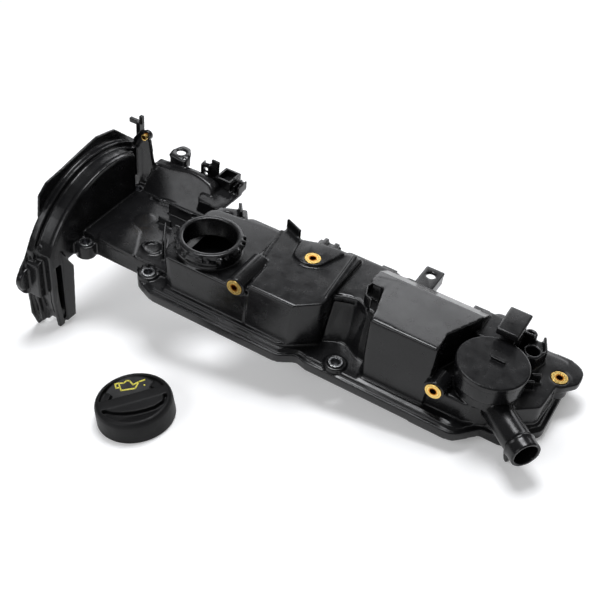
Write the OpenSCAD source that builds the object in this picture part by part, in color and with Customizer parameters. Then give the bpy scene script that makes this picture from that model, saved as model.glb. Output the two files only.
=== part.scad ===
// Engine valve cover with a timing end arch, an oil filler neck and a crankcase breather.
// Frame: X runs along the engine from the timing end to the breather end, Y from front to back, Z up.
// The origin is on the axis of the first front bolt, in the sealing plane.

/* [Main moulding] */
// Wall of the moulding
wall = 3; // [2.4:0.2:3.4]
// Height of the flange rim above the sealing plane
rim_h = 8.5; // [7:0.5:10]
// Height of the bolt bosses above the sealing plane
boss_h = 13; // [11:0.5:15]
// Radius of a bolt boss
boss_r = 9.2; // [8.8:0.2:10]
// Height of the timing deck
timing_h = 18; // [16:0.5:22]
// Height of the filler deck
filler_h = 45; // [40:1:48]
// Height of the middle deck
middle_h = 54.5; // [51:0.5:58]
// Height of the low deck
low_h = 49.5; // [46:0.5:50.5]
// Height of the separator box at its front edge
box_h = 68; // [62:1:74]
// Height of the breather base and of the end tab
base_h = 30; // [28:0.5:33]
// Front edge of the flange at the filler end
front_y = -16.4; // [-18:0.2:-15]
// Front edge of the flange at the breather end
front_b_y = -10.2; // [-12:0.2:-9]
// Right end of the flange
end_x = 345; // [341:1:350]
// Right end of the mounting tab
tab_x = 354; // [352:0.5:356]
// Back edge of the flange
back_y = 101; // [100:0.5:104]

/* [Bolts and sleeves] */
// Distance between the two main front bolts
front_pitch = 182; // [180:1:184]
// Distance from the first front bolt to the timing bolt
timing_pitch = 67.3; // [66:0.1:69]
// Pitch of the first three rear bolts
rear_pitch = 70; // [68:0.5:71]
// Distance from the third rear bolt to the last one
rear_end_pitch = 46; // [44:0.5:47]
// Distance from the front bolt row to the rear bolt row
row_pitch = 91; // [90.5:0.1:91.5]
// Outer radius of a bolt sleeve
sleeve_r = 5.7; // [5:0.1:6]
// Bore radius of a bolt sleeve
sleeve_bore_r = 3.6; // [3.2:0.1:3.8]
// How far a sleeve stands above its boss
sleeve_proud = 0.5; // [0.3:0.1:1]

/* [Threaded inserts] */
// Radius of an insert head
insert_head_r = 6.6; // [6:0.1:7]
// Radius of an insert body
insert_r = 4.6; // [4.2:0.1:5]
// Length of an insert
insert_l = 10; // [8:0.5:11]
// Thickness of an insert head
insert_head_t = 1.2; // [0.8:0.1:1.6]
// Radius of an insert's threaded hole
insert_bore_r = 2.6; // [2.4:0.05:3]
// Wall of a boss round an insert
insert_wall = 2.2; // [1.8:0.1:3]

/* [Oil filler neck] */
// Bore radius of the neck
neck_bore_r = 22; // [21:0.5:22.5]
// Wall of the neck
neck_wall = 2.6; // [2.2:0.2:3]
// Height of the neck above the filler deck
neck_h = 15; // [13:0.5:18]
// Width of the locking collar round the neck
collar_w = 2.4; // [2:0.1:3]
// Number of teeth round the collar
collar_teeth = 22; // [16:1:26]

/* [Breather] */
// Radius of the breather cap
breather_r = 28; // [27:0.5:29]
// Height of the top of the breather cap
breather_h = 58; // [56:0.5:60]
// Outer radius of the hose stub
stub_r = 11.4; // [10.5:0.1:11.8]
// Wall of the hose stub
stub_wall = 2; // [1.6:0.1:2.4]
// Distance from the breather axis to the mouth of the stub
stub_reach = 65; // [60:1:70]
// Height of the stub axis
stub_z = 27.5; // [26.5:0.5:28.5]
// Direction of the stub in plan
stub_turn = -40; // [-46:1:-34]
// Travel of the breather valve
valve_travel = 3; // [2:0.5:4]

/* [Timing arch] */
// Radius of the arch wall
arch_r = 92.5; // [90:0.5:95]
// Wall of the arch
arch_wall = 3; // [2.4:0.2:3.4]
// Inner face of the arch on the engine side
arch_x1 = -76; // [-77:0.5:-75]
// Outer face of the arch on the belt side
arch_x0 = -99; // [-102:0.5:-97]
// Depth of the arch legs below the sealing plane
leg_drop = 73; // [68:1:76]

/* [Oil cap] */
// Outer radius of the cap at its foot
cap_r = 32; // [31:0.2:33]
// Height of the cap
cap_h = 20; // [19:0.5:22]
// Wall of the cap
cap_wall = 2.6; // [2.2:0.2:3]
// Slope of the ground that the cap lies on, rising towards the breather end
ground_slope = 9.4; // [8:0.1:10]

/* [Seals] */
// Width of the perimeter gasket
gasket_w = 4; // [3.6:0.2:4.4]
// Depth of the gasket groove
groove_d = 3; // [2.6:0.2:3.4]
// How far the gasket stands out of the groove
gasket_proud = 1.2; // [0.8:0.1:1.6]

/* [Hidden] */

$fn = 48;
fit = 0.05;
eps = 0.01;
far = 400;
arc_n = 3;
rim_y = 88;

black = [0.05, 0.05, 0.055];
rubber_black = [0.03, 0.03, 0.03];
brass = [0.85, 0.68, 0.32];
steel = [0.72, 0.73, 0.74];

// Bolt places: two front bolts, the timing bolts, then the rear row
rear_x0 = 54;
timing_back_x = -78.5;
bolts = [
    [0, 0], [-timing_pitch, 0], [timing_back_x, rim_y], [front_pitch, 0],
    for (i = [0:2]) [rear_x0 + i * rear_pitch, row_pitch],
    [rear_x0 + 2 * rear_pitch + rear_end_pitch, row_pitch]
];

// Filler neck and breather axes
neck_x = 46.5;
neck_y = 22.8;
breather_x = 295;
breather_y = 27;

// Insert places: position of the head's face and the direction it looks along
deck_pad_h = middle_h + 2.5;
deck_insert = [127, 51, deck_pad_h];
corner_insert = [90.8, -8.5, middle_h - 5];
front_insert = [264.5, -3.5, 34.5];
tab_insert = [338.8, 70.5, base_h];
post_insert = [arch_x1 + 1.6, 94, 68];

// Rounded outlines: a corner is [x, y, radius], and corners run anticlockwise

function unit2(v) = v / norm(v);
function left_of(u) = [-u[1], u[0]];
function xy(p) = [p[0], p[1]];
function turn2(v, a) = [v[0] * cos(a) - v[1] * sin(a), v[0] * sin(a) + v[1] * cos(a)];

// Points of the arc at one corner, or the corner itself where it has no radius
function corner_points(a, b, c, n) =
    b[2] < 0.05 ? [xy(b)] :
    let (
        u = unit2(xy(b) - xy(a)),
        v = unit2(xy(c) - xy(b)),
        side = u[0] * v[1] - u[1] * v[0] >= 0 ? 1 : -1,
        bend = acos(max(-1, min(1, u * v))),
        reach = b[2] * tan(bend / 2),
        start = xy(b) - reach * u,
        centre = start + side * b[2] * left_of(u)
    )
    [for (i = [0:n]) centre + turn2(start - centre, side * bend * i / n)];

function rounded(path, n = arc_n) =
    let (m = len(path))
    [for (i = [0:m - 1]) each corner_points(path[(i + m - 1) % m], path[i], path[(i + 1) % m], n)];

// The same outline moved inwards by d
function inset(path, d) =
    let (m = len(path))
    [
        for (i = [0:m - 1])
            let (
                u = unit2(xy(path[i]) - xy(path[(i + m - 1) % m])),
                v = unit2(xy(path[(i + 1) % m]) - xy(path[i])),
                p = left_of(u),
                q = left_of(v),
                k = d / (1 + p * q),
                side = u[0] * v[1] - u[1] * v[0] >= 0 ? 1 : -1
            )
            [path[i][0] + k * (p[0] + q[0]), path[i][1] + k * (p[1] + q[1]), max(0, path[i][2] - side * d)]
    ];

function raise(points, z) = [for (p = points) [p[0], p[1], z]];

// A skin through outlines that all have the same number of points
module loft(rings) {
    n = len(rings[0]);
    m = len(rings);
    polyhedron(
        points = [for (ring = rings) each ring],
        faces = concat(
            [[for (i = [0:n - 1]) i]],
            [[for (i = [n - 1:-1:0]) (m - 1) * n + i]],
            [
                for (k = [0:m - 2], i = [0:n - 1])
                    [k * n + i, (k + 1) * n + i, (k + 1) * n + (i + 1) % n, k * n + (i + 1) % n]
            ]
        )
    );
}

// A moulded block: an outline in plan, and a side view from the left end in Y and Z
module block(plan, side) {
    intersection() {
        translate([0, 0, -10])
            linear_extrude(120)
                polygon(rounded(plan));
        translate([-150, 0, 0])
            rotate([90, 0, 90])
                linear_extrude(600)
                    polygon(rounded(side));
    }
}

module plate(path, z0, z1) {
    translate([0, 0, z0])
        linear_extrude(z1 - z0)
            polygon(rounded(path));
}

module band(outer, inner, z0, z1) {
    translate([0, 0, z0])
        linear_extrude(z1 - z0)
            difference() {
                polygon(rounded(outer));
                polygon(rounded(inner));
            }
}

module tube(r, bore, h) {
    rotate_extrude()
        translate([bore, 0])
            square([r - bore, h]);
}

// Turns a part drawn along +Z so that it looks towards the front
module look_front() {
    rotate([90, 0, 0]) children();
}

module look_right() {
    rotate([0, 90, 0]) children();
}

// Outlines in plan

flange_path = [
    [-15.5, 7, 1.5], [-13, 1, 4], [-4, -9, 8], [13, front_y, 12], [138, front_y, 9], [151, front_b_y + 2.4, 7],
    [160, front_b_y, 8], [289, front_b_y - 1, 13], [304.5, 6.8, 4], [323, 6.8, 8], [end_x, 33, 10],
    [end_x, back_y, 9], [-15.5, back_y, 3]
];

timing_path = [
    [-80, 8, 4], [-62, 4, 5], [-14, 4, 3], [17, 4, 3], [17, rim_y + 8, 4], [-72, rim_y + 8, 6], [-80, rim_y - 10, 4]
];

filler_path = [
    [15, -6.5, 15], [100, -6.5, 2], [100, 84, 4], [57, 84, 8], [47, 75, 6], [15, 72, 10]
];

middle_path = [
    [101, -6.5, 2], [140, -6.5, 5], [160, 11, 6], [158.5, 80, 4], [146, 81, 4], [120, 74, 9], [106, 70, 4],
    [88, 80, 3], [87, 28, 2.6], [99.5, 28, 2.6]
];

low_foot = [
    [142, 2, 2], [160, 15, 8], [176, 24, 12], [194, 13, 10], [204, 13, 2], [214, 13, 2], [214, 89, 4], [142, 89, 4]
];
low_edge = [
    [142, 30, 2], [158, 33, 5], [173, 39, 13], [190, 33, 9], [202, 30, 2], [214, 30, 2], [214, 85, 4], [142, 85, 4]
];

box_path = [
    [203, -1, 8], [258.5, -1, 3], [257, 26, 4], [271.5, 62, 3], [271.5, 92, 2], [180.5, 92, 5], [180.5, 45.5, 5],
    [193.5, 45.5, 4], [198, 28, 10]
];
box_side = [
    [-1, 5, 0], [92, 5, 0], [83, box_h - 18, 5], [64, box_h - 5.6, 1.5], [4.2, box_h, 2.2]
];

base_path = [
    [252, 2.4, 3], [290, 3, 12], [318, 16, 12], [338, 33, 8], [340, 62, 3], [340, 91, 5], [252, 91, 3]
];

bridge_path = [
    [262, 58, 3], [299, 54, 3], [299, 86, 5], [262, 86, 3]
];

tab_path = [
    [314, 58, 3], [334, 59, 6], [344, 61, 7], [tab_x, 73, 9], [tab_x, 90, 12], [339, 96, 10], [314, 94, 4]
];

gasket_path = [
    [-69, 14, 7], [2, 13, 9], [17, -11, 9], [140, -11, 8], [158, 6, 9], [178, 17.5, 12], [198, 0, 9],
    [206, -5.5, 6], [288, -5.5, 9], [299, 11.5, 6], [322, 12.5, 8], [338, 33, 8], [338, 80, 8], [-69, 80, 8]
];

// Main moulding

ledge_h = 5;

// Low deck between the middle deck and the separator box: its front face leans back as it rises
module low_skin(d, drop) {
    loft([
        raise(rounded(inset(low_foot, d)), drop > 0 ? -1 : 6),
        raise(rounded(inset(low_edge, d - 1.2)), low_h - drop - 1.6),
        raise(rounded(inset(low_edge, d)), low_h - drop)
    ]);
}

module flange() {
    difference() {
        union() {
            plate(flange_path, 0, rim_h);
            plate(inset(flange_path, 4), rim_h - 1, rim_h + 2.4);
        }
        // Line round the rim
        band(inset(flange_path, 1.4), inset(flange_path, 2.6), rim_h - 1.2, rim_h + 1);
    }
    // Raised bead along the foot of the front wall
    plate([[22, -9.4, 1], [134, -9.4, 1], [140, -7, 1], [138, -4, 1], [22, -4, 1]], rim_h, boss_h + 0.8);
    plate([[203, -3.6, 1], [286, -3.6, 3], [286, 3.2, 1], [203, 3.2, 1]], rim_h, boss_h - 1.4);
}

module outer_blocks() {
    flange();
    block(timing_path, [[3, 0, 0], [97, 0, 0], [97, timing_h, 0], [4.4, timing_h, 1.6]]);
    block(filler_path, [
        [-6.6, 3, 0], [90, 3, 0], [90, filler_h - 9, 0], [79, filler_h, 5], [-5.2, filler_h, 2.4]
    ]);
    block(middle_path, [
        [-6.4, 4, 0], [91, 4, 0], [91, middle_h - 14, 0], [77, middle_h, 4], [-4.9, middle_h, 2.4]
    ]);
    low_skin(0, 0);
    block(box_path, box_side);
    block(base_path, [[1.4, 4.6, 0], [93, 4.6, 0], [93, base_h, 0], [3, base_h, 2.4]]);
    plate(bridge_path, 22, 50);
    plate(tab_path, base_h - 6.5, base_h - 0.3);
    deck_pad();
}

module inner_hollows() {
    // Each hollow is narrower below ledge_h, where the gasket's groove runs round it
    plate([[-65, 18, 3], [30, 18, 0], [30, 70, 0], [14, 70, 0], [14, 76, 3], [-65, 76, 3]], -1, ledge_h + 1);
    plate([[-76.5, 12, 0], [-61, 7, 0], [-14, 7.4, 0], [-4, 12, 0], [30, 12, 0], [30, 71, 0], [12, 84, 0],
        [-68, 84, 0], [-76.5, 76, 0]], ledge_h, timing_h - wall);
    plate([[18.5, -3, 6], [97, -3, 0], [97, 71, 0], [18.5, 71, 6]], -2, filler_h - wall);
    plate([[103, -2.8, 0], [138, -2.8, 3], [156, 12, 4], [154, 68, 0], [91, 65, 0], [91, 31, 0], [103, 31, 0]],
        -3, middle_h - wall);
    block(
        [[150, 5, 0], [157, 17, 4], [176, 28, 8], [196, 17, 4], [206, 17, 0], [206, 82, 0], [150, 82, 0]],
        [[24, -4, 0], [76, -4, 0], [76, ledge_h, 0], [82, ledge_h, 0], [81, low_h - wall, 0], [47, low_h - wall, 0],
            [31, 8, 0]]
    );
    block(
        [[206, 2, 3], [255, 2, 0], [254, 27, 0], [268, 62, 0], [268, 90, 0], [184, 90, 0], [184, 49, 0],
            [196, 49, 0], [201, 28, 3]],
        [[2, -5, 0], [76, -5, 0], [76, ledge_h, 0], [81, ledge_h, 0], [79, box_h - 21, 0], [63, box_h - 8.6, 0],
            [7, box_h - wall, 0]]
    );
    plate([[255, 6, 0], [285, 6, 3], [297, 17, 3], [318, 20, 4], [332, 37, 3], [333, 62, 0], [333, 76, 3],
        [255, 76, 0]], -6, ledge_h + 1);
    plate([[255, 6, 0], [289, 6, 4], [315, 19, 4], [334, 35, 3], [336, 62, 0], [336, 82, 0], [255, 82, 0]],
        ledge_h, base_h - wall);
    plate([[256, 61, 0], [295.5, 57.5, 2], [295.5, 82, 2], [256, 82, 0]], 20, 50 - wall);
    // One clear passage along the cams
    plate([[19, 12, 0], [97, 12, 0], [158, 32, 0], [330, 40, 0], [330, 76, 0], [156, 76, 0], [150, 65, 0],
        [92, 64, 0], [86, 70, 0], [19, 70, 0]], -7, 26);
}

module bolt_boss(p) {
    translate([p[0], p[1], 0])
        cylinder(r = boss_r, h = boss_h);
}

module filler_neck() {
    translate([neck_x, neck_y, filler_h - 1]) {
        cylinder(r = neck_bore_r + neck_wall, h = neck_h + 1);
        translate([0, 0, 1])
            cylinder(r = neck_bore_r + neck_wall + 1.2, h = 3);
        // Locking collar with its teeth
        translate([0, 0, neck_h - 3.8])
            cylinder(r = neck_bore_r + neck_wall + collar_w, h = 3.2);
        for (i = [0:collar_teeth - 1])
            rotate([0, 0, i * 360 / collar_teeth + 6])
                translate([neck_bore_r + 1, -1.3, neck_h - 5.6])
                    cube([neck_wall + collar_w + 0.6, 2.6, 4.2]);
        // Stops for the cap
        for (a = [150, 178])
            rotate([0, 0, a])
                translate([neck_bore_r + 1, -1.6, 0])
                    cube([neck_wall + 11, 3.2, neck_h - 5.6]);
    }
}

module breather_housing() {
    translate([breather_x, breather_y, 0]) {
        translate([0, 0, base_h - 1])
            cylinder(r = breather_r - 5, h = 13);
        translate([0, 0, base_h + 11])
            cylinder(r = breather_r - 0.8, h = breather_h - 4 - base_h - 11);
        // Hose stub
        rotate([0, 0, stub_turn])
            translate([0, 0, stub_z])
                look_right() {
                    cylinder(r = stub_r, h = stub_reach);
                    translate([0, 0, stub_reach - 11])
                        cylinder(r = stub_r + 0.5, h = 11);
                    translate([0, 0, stub_reach - 11])
                        cylinder(r = stub_r + 1.1, h = 1.6);
                }
    }
}

// Web under the hose stub, down to the small foot
module stub_web() {
    translate([breather_x, breather_y, 0])
        rotate([0, 0, stub_turn])
            translate([0, 1.6, 0])
                look_front()
                    linear_extrude(3.2)
                        polygon([
                            [10, 4], [10, stub_z], [52, stub_z], [52, stub_z - 12],
                            [48.5, 0], [45, 0], [40, 12], [26, 9]
                        ]);
}

// Screw bosses and latch plate behind the breather
module breather_back() {
    translate([279, 88, 20])
        cylinder(r = 7.5, h = 25, $fn = 32);
    translate([305, 88, 20])
        cylinder(r = 5.4, h = 25, $fn = 32);
    translate([313, 72, 20])
        cylinder(r1 = 5, r2 = 7.4, h = 23.5, $fn = 32);
    plate([[306, 78, 3], [319, 78, 5], [319, 91, 5], [306, 91, 3]], 36, 38.5);
    translate([286.5, 68, 40])
        cube([15.5, 11, 26]);
    plate([[285, 52.5, 0.8], [303.4, 52.5, 0.8], [303.4, 82.3, 0.8], [285, 82.3, 0.8]], 64.5, 67.5);
    translate([285, 52.5, 61.5])
        cube([18.4, 2, 5]);
}

// Pad round the insert on the middle deck
module deck_pad() {
    plate(
        [[107, 67, 3], [111, 46, 8], [124, 41, 12], [136, 47, 9], [146, 75, 3], [120, 71.5, 6]],
        middle_h - 9, deck_pad_h
    );
}

module insert_bosses() {
    r = insert_r + insert_wall;
    translate([corner_insert[0], 30, corner_insert[2]])
        look_front()
            cylinder(r = insert_head_r + 2, h = 30 - corner_insert[1]);
    translate([front_insert[0], 14, front_insert[2]])
        look_front()
            cylinder(r = insert_head_r + 2, h = 14 - front_insert[1]);
    translate([tab_insert[0], tab_insert[1], base_h - 15])
        cylinder(r = r + 2, h = 15);
    translate([deck_insert[0], deck_insert[1], deck_pad_h - insert_l - 3])
        cylinder(r = r, h = insert_l);
}

// Timing arch: drawn in the Y-Z plane and carried along X
arch_cy = 46.5;
arch_cz = -28;
arch_a0 = 57;
arch_a1 = 153;
arch_n = 14;

module arch_slice(x0, x1) {
    translate([x0, 0, 0])
        rotate([90, 0, 90])
            linear_extrude(x1 - x0)
                children();
}

function arch_arc(r) =
    [
        for (i = [0:arch_n])
            let (a = arch_a0 + (arch_a1 - arch_a0) * i / arch_n)
            [arch_cy + r * cos(a), arch_cz + r * sin(a)]
    ];

// Line of a wall at radius r that ends in a straight leg
function arch_line(r, foot) = concat(
    arch_arc(r),
    [[arch_cy - r + 10.5, -37], [arch_cy - r + 14.5, foot]]
);

function backwards(points) = [for (i = [len(points) - 1:-1:0]) points[i]];

module arch_wall_profile(r_out, r_in, foot) {
    polygon(concat(arch_line(r_out, foot), backwards(arch_line(r_in, foot))));
}

module timing_arch() {
    // Skin over the belt wheel, with its rim on the engine side
    arch_slice(arch_x0 + 1, arch_x1)
        arch_wall_profile(arch_r, arch_r - arch_wall, 12 - leg_drop);
    arch_slice(arch_x1 - 3, arch_x1 + 1)
        arch_wall_profile(arch_r + 0.6, arch_r - 6, 4 - leg_drop);
    // Raised band beside the outer flange
    arch_slice(arch_x0 + 1.4, arch_x0 + 8)
        arch_wall_profile(arch_r + 5, arch_r - 1, 6 - leg_drop);
    // Outer flange
    arch_slice(arch_x0, arch_x0 + 2.4)
        polygon([
            [110, 48.5], [81.6, 74], [75, 75.6], [57, 79], [38, 76], [12, 71], [-9, 68], [-19.5, 60],
            [-22.5, 40], [-18.5, 35], [-26, 22], [-31, 18.5], [-38, 17], [-43.5, 8], [-50.5, 1], [-55.5, -9],
            [-54.5, -19], [-49.5, -27], [-44, -31], [-43, -56], [-37, -leg_drop], [-27, -leg_drop],
            [-31, -40], [-25, 0], [-8, 34], [26, 56], [60, 62], [100, 44]
        ]);
    // Wall towards the engine, open below the sealing plane where the belt runs
    arch_slice(arch_x1 - 1.5, arch_x1 + 1.5)
        difference() {
            polygon(concat(arch_line(arch_r - 2, 0), [[arch_cy + 44, 0]]));
            translate([-60, -20])
                square([160, 20.6]);
            translate([80.8, -1])
                square([40, 80]);
        }
    // Straight leg: strip, groove and web
    arch_slice(arch_x1 - 0.5, arch_x1 + 2.6)
        polygon([[-24.5, 14], [-9.5, -10], [-12.5, 6.5 - leg_drop], [-24, 6.5 - leg_drop]]);
    arch_slice(arch_x1 - 14, arch_x1 + 2)
        polygon([[-25, 15], [-22, 12], [-21.8, 7 - leg_drop], [-24.4, 7 - leg_drop]]);
    arch_slice(arch_x1 - 14.6, arch_x1 - 11.5)
        polygon([[-37, 18], [-23, 24], [-22, 8 - leg_drop], [-33, 8 - leg_drop]]);
    // Round lug and side block on the outer flange
    arch_slice(arch_x0 - 0.6, arch_x0 + 5)
        translate([-45, -12])
            circle(r = 10.6);
    arch_slice(arch_x0 + 2, arch_x0 + 15)
        polygon([[-44, 5], [-34, 8], [-34, -32], [-44, -30]]);
}

// Rear apron: a wall that climbs back from the timing deck, with a rounded hump for its top edge
apron_front = 83;
apron_back = 113;
apron_rise = 1.1;
apron_end = -2;

module apron_form(skin) {
    intersection() {
        arch_slice(bolts[2][0] + 8.4 + skin, apron_end - skin)
            polygon([
                [apron_front + skin, ledge_h - 1 - skin], [apron_front + skin, timing_h - 0.4 - skin * 0.5],
                [apron_back - 8 + skin, timing_h + (apron_back - 8 - apron_front) * apron_rise - skin * 0.6],
                [apron_back - 4.5, 43.8 - skin], [apron_back - skin, 41.6 - skin], [apron_back - skin, ledge_h - 1 - skin]
            ]);
        translate([0, 140, 0])
            rotate([90, 0, 0])
                linear_extrude(80)
                    polygon([
                        [-90, -2 - skin], [apron_end - skin, -2 - skin], [apron_end - skin, 30],
                        [-4 - skin, 37 - skin], [-9 - skin, 40 - skin], [-20, 42 - skin], [-31, 43 - skin],
                        [-52, 39.8 - skin], [-69, 38.4 - skin], [-90, 35 - skin]
                    ]);
    }
}

module rear_apron() {
    difference() {
        apron_form(0);
        apron_form(2.6);
    }
}

module rear_post() {
    // Tall plate beside the arch that faces the front, with a side wall behind it
    translate([0, 102, 0])
        rotate([90, 0, 0])
            linear_extrude(4)
                polygon([
                    [arch_x1 - 14, 59], [arch_x1 - 6, 70], [arch_x1 + 2.5, 72], [arch_x1 + 4.4, 62], [arch_x1 + 8.4, 38],
                    [arch_x1 + 14, 30], [arch_x1 + 14, 22], [arch_x1 + 9, 12], [arch_x1 - 2, 8], [arch_x1 - 14, 8]
                ]);
    arch_slice(arch_x1 - 9, arch_x1 - 6)
        polygon([[84, 55], [101, 53], [112, 45], [112, 12], [98.6, 8], [84, 40]]);
    // Rib from the post to the outer flange
    arch_slice(arch_x0 + 1, arch_x1 - 4)
        polygon([[94, 20], [104, 20], [104, 46], [98, 52], [94, 50]]);
    // Boss for the small insert
    translate([post_insert[0], 102, post_insert[2]])
        rotate([90, 0, 0])
            cylinder(r = 4.6, h = 102 - post_insert[1]);
}

// Bracket with a round hole behind the apron
module holed_bracket() {
    plate([[-59, 108.4, 2], [-45, 112.4, 2], [-40.5, 119.8, 3], [-48, 128.8, 4], [-56, 129.2, 4], [-61, 118.8, 3]], 46.4, 49);
    translate([-56, 109.4, 34])
        cube([14.6, 3, 14]);
}

module side_brackets() {
    // Flat bracket behind the filler neck
    plate([[16, 68, 2], [42, 68, 2], [46, 82, 2], [38, 93, 2], [16, 82, 2]], 36.5, 39.5);
    translate([38, 80, 36.5])
        rotate([0, 0, 36])
            cube([3, 13, 9]);
    // Square bracket behind the separator box
    plate([[202, 86, 1], [218.5, 86, 1], [218.5, 116, 1], [202, 116, 1]], 40, 43);
    translate([202, 80, 28])
        cube([16.5, 6, 15]);
    translate([216, 94, 32])
        cube([2.5, 20, 11]);
    // Upright wall behind the middle deck
    translate([86, 77.5, 30])
        rotate([0, 0, -24])
            cube([18, 2.6, 31.5]);
    // Clip on the back of the middle deck
    translate([117, 74, 40])
        cube([20, 9, 12]);
    translate([121, 72, 50])
        cube([4, 11, 5.4]);
    translate([131, 72, 50])
        cube([4, 11, 4.6]);
    // Small hooks along the back wall
    for (x = [170, 254])
        translate([x, 83, 38])
            cube([14, 15, 2.4]);
}

// Arm that carries the rear clip
module clip_arm() {
    plate([[-12, 88, 3], [15, 84, 4], [16, 118, 6], [10, 134, 4], [-4, 136, 3], [-12, 112, 4]], 30, 33);
    translate([-10, 86, 10])
        cube([20, 3, 22]);
}

// Small forms on the timing deck
module timing_deck_details() {
    translate([-12, 23, timing_h - 1])
        difference() {
            cylinder(r = 9, h = 2.4, $fn = 32);
            translate([0, 0, 1.4])
                cylinder(r = 7, h = 3, $fn = 32);
        }
    translate([-41.6, 50.5, timing_h - 1])
        cylinder(r = 8.5, h = 1.4, $fn = 32);
    // Fin beside the filler neck
    translate([-10, 38, timing_h - 1])
        rotate([0, 0, -58])
            translate([0, -1, 0])
                cube([26, 2, 21]);
    // Low ribs towards the rear
    translate([-58, 78, timing_h - 1])
        rotate([0, 0, 14])
            cube([30, 1.6, 2.6]);
    translate([-30, 70, timing_h - 1])
        cube([26, 2, 12]);
    translate([-30, 54, timing_h - 1])
        cube([14, 2, 8]);
}

module moulded_walls() {
    difference() {
        outer_blocks();
        inner_hollows();
    }
}

// Holes in the brackets and in the two bosses behind the breather: [x, y, start height, radius, depth]
bracket_hole_list = [
    [-51.5, 119.2, 44, 4, 10],
    [28, 77, 30, 3.6, 20],
    [210, 106, 30, 4, 20],
    [305, 88, 30, 2.6, 20],
    [313, 72, 28, 5.4, 20]
];

module bracket_holes() {
    for (hole = bracket_hole_list)
        translate([hole[0], hole[1], hole[2]])
            cylinder(r = hole[3], h = hole[4]);
}

module cover_moulding() {
    color(black)
        difference() {
            union() {
                moulded_walls();
                timing_arch();
                rear_apron();
                rear_post();
                holed_bracket();
                side_brackets();
                clip_arm();
                breather_back();
                stub_web();
                timing_deck_details();
                for (p = bolts)
                    bolt_boss(p);
                insert_bosses();
                filler_neck();
                breather_housing();
                outlet_post();
                baffle_post_row();
            }
            // Groove of the gasket
            band(
                inset(gasket_path, -gasket_w / 2 - fit), inset(gasket_path, gasket_w / 2 + fit),
                -1, groove_d
            );
            for (p = bolts)
                translate([p[0], p[1], -1])
                    cylinder(r = sleeve_r + fit, h = boss_h + 20);
            // Room for the head of the bolt beside the arch
            translate([bolts[2][0] - 8.7, bolts[2][1] - 7.3, boss_h])
                cube([16.8, 16.9, 60]);
            // Room for the heads of the rear bolts
            for (i = [4:7])
                translate([bolts[i][0], bolts[i][1], boss_h])
                    cylinder(r = 7.4, h = 60);
            translate([neck_x, neck_y, 20])
                cylinder(r = neck_bore_r, h = 60);
            insert_seats();
            breather_cuts();
            bracket_holes();
        }
}

module insert_seat() {
    // The mouth of the seat is at the origin and it goes down
    translate([0, 0, -insert_l - 0.5])
        cylinder(r = insert_r + fit, h = insert_l + 1);
    translate([0, 0, -insert_head_t])
        cylinder(r = insert_head_r + fit, h = insert_head_t + 1);
}

module place_deck() {
    translate(deck_insert) children();
}

module place_corner() {
    translate(corner_insert) look_front() children();
}

module place_front() {
    translate(front_insert) look_front() children();
}

module place_tab() {
    translate(tab_insert) children();
}

module place_post() {
    translate(post_insert) look_front() children();
}

module insert_seats() {
    place_deck() insert_seat();
    place_corner() insert_seat();
    place_front() insert_seat();
    place_tab() insert_seat();
    place_post() small_seat();
}

small_r = 3;
small_l = 6;
small_bore_r = 2;

module small_seat() {
    translate([0, 0, -small_l - 0.3])
        cylinder(r = small_r + fit, h = small_l + 1);
}

valve_floor = breather_h - 22;
valve_seat = breather_h - 14;
valve_face = valve_seat + valve_travel;
port_r = 5;
bead_z = breather_h - 8;
bead_in = 20.9;
bead_out = 24.4;

// Post in the breather chamber, round the outlet port
module outlet_post() {
    translate([breather_x, breather_y, 15])
        cylinder(r = port_r + 2.4, h = valve_seat - 15);
}

module breather_cuts() {
    translate([breather_x, breather_y, 0]) {
        // Chamber, and the wider ledge that holds the diaphragm's bead
        difference() {
            translate([0, 0, valve_floor])
                cylinder(r = bead_in - 0.7, h = 30);
            cylinder(r = port_r + 2.4, h = valve_seat);
        }
        translate([0, 0, bead_z])
            cylinder(r = bead_out + 0.1, h = 20);
        // Outlet port, and the inlet holes from the cams
        translate([0, 0, stub_z])
            cylinder(r = port_r, h = 30);
        for (a = [75, 120, 165, 210])
            rotate([0, 0, a])
                translate([14, 0, 18])
                    cylinder(r = 3, h = 30);
        // Bore of the hose stub
        rotate([0, 0, stub_turn])
            translate([0, 0, stub_z])
                look_right()
                    translate([0, 0, 2])
                        cylinder(r = stub_r - stub_wall, h = stub_reach);
    }
}

// Seals and baffle

module perimeter_gasket() {
    color(rubber_black)
        band(
            inset(gasket_path, -gasket_w / 2), inset(gasket_path, gasket_w / 2),
            -gasket_proud, groove_d - fit
        );
}

baffle_z = 27;
baffle_t = 2.5;
baffle_path = [
    [22, 30, 3], [64, 30, 3], [92, 46, 3], [106, 46, 3], [106, 6, 3], [136, 6, 3], [152, 20, 3], [152, 44, 0], [208, 44, 0],
    [208, 12, 3], [250, 12, 3], [250, 30, 3], [262, 60, 3], [262, 76, 3], [156, 76, 3], [150, 62, 3],
    [106, 62, 3], [64, 70, 3], [22, 70, 3]
];
// Posts that hold the baffle, each with the height of its top
baffle_posts = [
    [112, 14, middle_h - 1.2], [140, 38, middle_h - 1.2], [222, 20, box_h - 3], [244, 66, box_h - 8.5]
];

module baffle_post_row() {
    for (p = baffle_posts)
        translate([p[0], p[1], baffle_z + baffle_t])
            cylinder(r = 3, h = p[2] - baffle_z - baffle_t);
}

module separator_baffle() {
    color(black)
        plate(baffle_path, baffle_z, baffle_z + baffle_t);
}

// Metal pieces

module bolt_sleeve(i) {
    color(steel)
        translate([bolts[i][0], bolts[i][1], 0])
            difference() {
                cylinder(r = sleeve_r, h = boss_h + sleeve_proud);
                translate([0, 0, -1])
                    cylinder(r = sleeve_bore_r, h = boss_h + 20);
            }
}

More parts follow.
